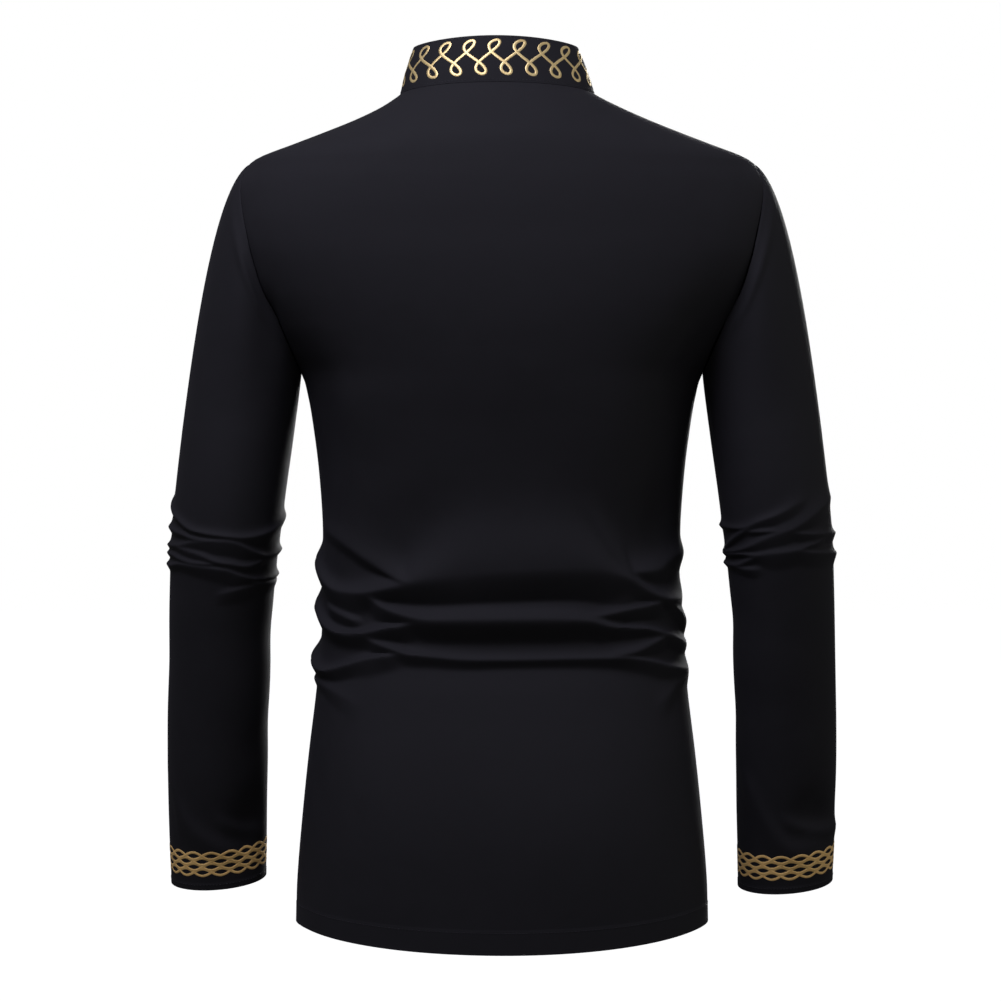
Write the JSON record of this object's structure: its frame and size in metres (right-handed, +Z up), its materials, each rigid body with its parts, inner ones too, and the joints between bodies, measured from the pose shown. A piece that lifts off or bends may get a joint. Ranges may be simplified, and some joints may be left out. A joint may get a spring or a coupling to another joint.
{
  "type": "dashiki dress shirt",
  "caption": "Long-sleeved black dashiki dress shirt with a stand collar, filled out as worn, hollow and open at neck, hem and cuffs, with gold bands at collar and cuffs.",
  "frame": {"origin": "centre of the neck opening, at the height where the shoulder seams meet the collar; the wearer's neck and shoulders hold the shirt there", "axes": "+Z up; the wearer faces -Y, so the back of the shirt is at +Y; +X is the wearer's left"},
  "size_m": [0.6028, 0.2467, 0.8005],
  "materials": {
    "cloth": "matte black cotton blend with a soft smooth face",
    "gold_print": "gold foil print on the cloth",
    "thread": "black sewing thread",
    "buttons": "polished black resin"
  },
  "bodies": {
    "root": {"back": "cloth", "front_left": "cloth", "front_right": "cloth", "placket": "cloth", "collar": "cloth", "sleeve_left": "cloth", "sleeve_right": "cloth", "button_1": "buttons", "button_2": "buttons", "button_3": "buttons", "button_4": "buttons", "button_5": "buttons", "button_6": "buttons", "button_7": "buttons", "button_collar": "buttons"}
  },
  "joints": []
}
